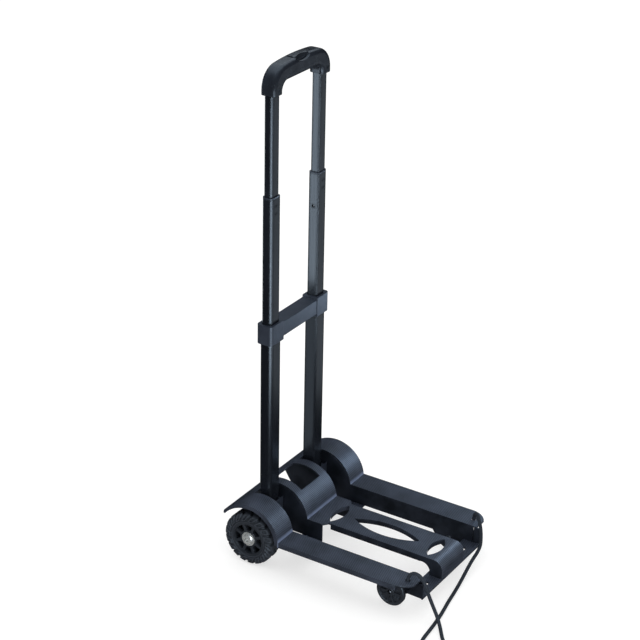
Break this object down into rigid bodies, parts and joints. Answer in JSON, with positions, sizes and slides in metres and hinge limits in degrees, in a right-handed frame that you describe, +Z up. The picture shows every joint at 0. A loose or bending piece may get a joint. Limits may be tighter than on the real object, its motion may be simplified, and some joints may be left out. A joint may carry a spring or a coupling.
{
  "type": "folding luggage cart",
  "caption": "Folding luggage cart: low open platform on two rear wheels and two small front wheels, with a telescopic handle that folds flat and an elastic cord.",
  "frame": {"origin": "on the ground, at the centre of the footprint of the cart without its loose cord", "axes": "+Z up, -Y towards the front of the platform, +X to the right side seen from the front"},
  "size_m": [0.4091, 0.5274, 0.9319],
  "materials": {
    "deck_plastic": "moulded, fine diagonal stripe texture",
    "block_plastic": "satin moulded",
    "inner_plastic": "moulded",
    "grip_plastic": "soft satin",
    "button_plastic": "satin",
    "wheel_plastic": "moulded",
    "tyre_rubber": "moulded tread",
    "tube_metal": "black anodised, satin gloss",
    "steel": "zinc plated",
    "chrome_steel": "polished",
    "elastic_cord": "braided"
  },
  "bodies": {
    "platform": {"platform_deck": "deck_plastic", "rear_axle": "steel", "axle_washers": "steel", "axle_bolts": "chrome_steel", "front_wheel_screws": "chrome_steel", "front_wheel_washers": "steel", "elastic_cord_left": "elastic_cord", "elastic_cord_right": "elastic_cord", "elastic_cord_coil": "elastic_cord", "cord_knots": "elastic_cord"},
    "rear_wheel_left": {"rear_hub_left": "wheel_plastic", "rear_tyre_left": "tyre_rubber", "rear_bushes_left": "inner_plastic"},
    "rear_wheel_right": {"rear_hub_right": "wheel_plastic", "rear_tyre_right": "tyre_rubber", "rear_bushes_right": "inner_plastic"},
    "front_wheel_left": {"front_wheel_left": "wheel_plastic"},
    "front_wheel_right": {"front_wheel_right": "wheel_plastic"},
    "handle_frame": {"foot_block_left": "block_plastic", "foot_block_right": "block_plastic", "foot_rivets_left": "steel", "foot_rivets_right": "steel", "lower_tube_left": "tube_metal", "lower_tube_right": "tube_metal", "crossbar": "block_plastic", "crossbar_screws": "steel"},
    "middle_stage": {"middle_tube_left": "tube_metal", "middle_tube_right": "tube_metal", "middle_tube_rim_left": "block_plastic", "middle_tube_rim_right": "block_plastic", "middle_lock_housing_left": "inner_plastic", "middle_lock_housing_right": "inner_plastic", "middle_lock_springs": "steel"},
    "upper_stage": {"upper_tube_left": "tube_metal", "upper_tube_right": "tube_metal", "upper_lock_housing_left": "inner_plastic", "upper_lock_housing_right": "inner_plastic", "upper_lock_springs": "steel", "grip_upper_shell": "grip_plastic", "grip_lower_shell": "grip_plastic", "grip_screws": "steel", "button_springs": "steel"},
    "release": {"release_button": "button_plastic", "button_bridge": "inner_plastic", "push_rod_left": "steel", "push_rod_right": "steel"},
    "middle_lock_pin_left": {"middle_lock_pin_left": "steel"},
    "middle_lock_pin_right": {"middle_lock_pin_right": "steel"},
    "upper_lock_pin_left": {"upper_lock_pin_left": "steel"},
    "upper_lock_pin_right": {"upper_lock_pin_right": "steel"}
  },
  "joints": [
    {"name": "handle_fold", "type": "hinge", "parent": "platform", "child": "handle_frame", "pos_m": [0, 0.1472, 0.0514], "axis": [1, 0, 0], "range_deg": [0, 90]},
    {"name": "lower_extension", "type": "slide", "parent": "handle_frame", "child": "middle_stage", "axis": [0, 0, 1], "range_m": [-0.233, 0]},
    {"name": "upper_extension", "type": "slide", "parent": "middle_stage", "child": "upper_stage", "axis": [0, 0, 1], "range_m": [-0.176, 0]},
    {"name": "release_button", "type": "slide", "parent": "upper_stage", "child": "release", "axis": [0, 0, -1], "range_m": [0, 0.004], "stiffness_N_per_m": 900, "springref_m": -0.003},
    {"name": "upper_lock_pin_left", "type": "slide", "parent": "upper_stage", "child": "upper_lock_pin_left", "axis": [-1, 0, 0], "range_m": [0, 0.002]},
    {"name": "upper_lock_pin_right", "type": "slide", "parent": "upper_stage", "child": "upper_lock_pin_right", "axis": [1, 0, 0], "range_m": [0, 0.002]},
    {"name": "middle_lock_pin_left", "type": "slide", "parent": "middle_stage", "child": "middle_lock_pin_left", "axis": [-1, 0, 0], "range_m": [0, 0.002], "stiffness_N_per_m": 500, "springref_m": -0.002},
    {"name": "middle_lock_pin_right", "type": "slide", "parent": "middle_stage", "child": "middle_lock_pin_right", "axis": [1, 0, 0], "range_m": [0, 0.002], "stiffness_N_per_m": 500, "springref_m": -0.002},
    {"name": "rear_wheel_left_spin", "type": "hinge", "parent": "platform", "child": "rear_wheel_left", "pos_m": [0, 0.1472, 0.0514], "axis": [1, 0, 0], "continuous": true},
    {"name": "rear_wheel_right_spin", "type": "hinge", "parent": "platform", "child": "rear_wheel_right", "pos_m": [0, 0.1472, 0.0514], "axis": [1, 0, 0], "continuous": true},
    {"name": "front_wheel_left_spin", "type": "hinge", "parent": "platform", "child": "front_wheel_left", "pos_m": [0, -0.1355, 0.028], "axis": [1, 0, 0], "continuous": true},
    {"name": "front_wheel_right_spin", "type": "hinge", "parent": "platform", "child": "front_wheel_right", "pos_m": [0, -0.1355, 0.028], "axis": [1, 0, 0], "continuous": true}
  ],
  "couplings": [
    {"joint": "upper_lock_pin_left", "follows": "release_button", "ratio": 0.5},
    {"joint": "upper_lock_pin_right", "follows": "release_button", "ratio": 0.5}
  ]
}
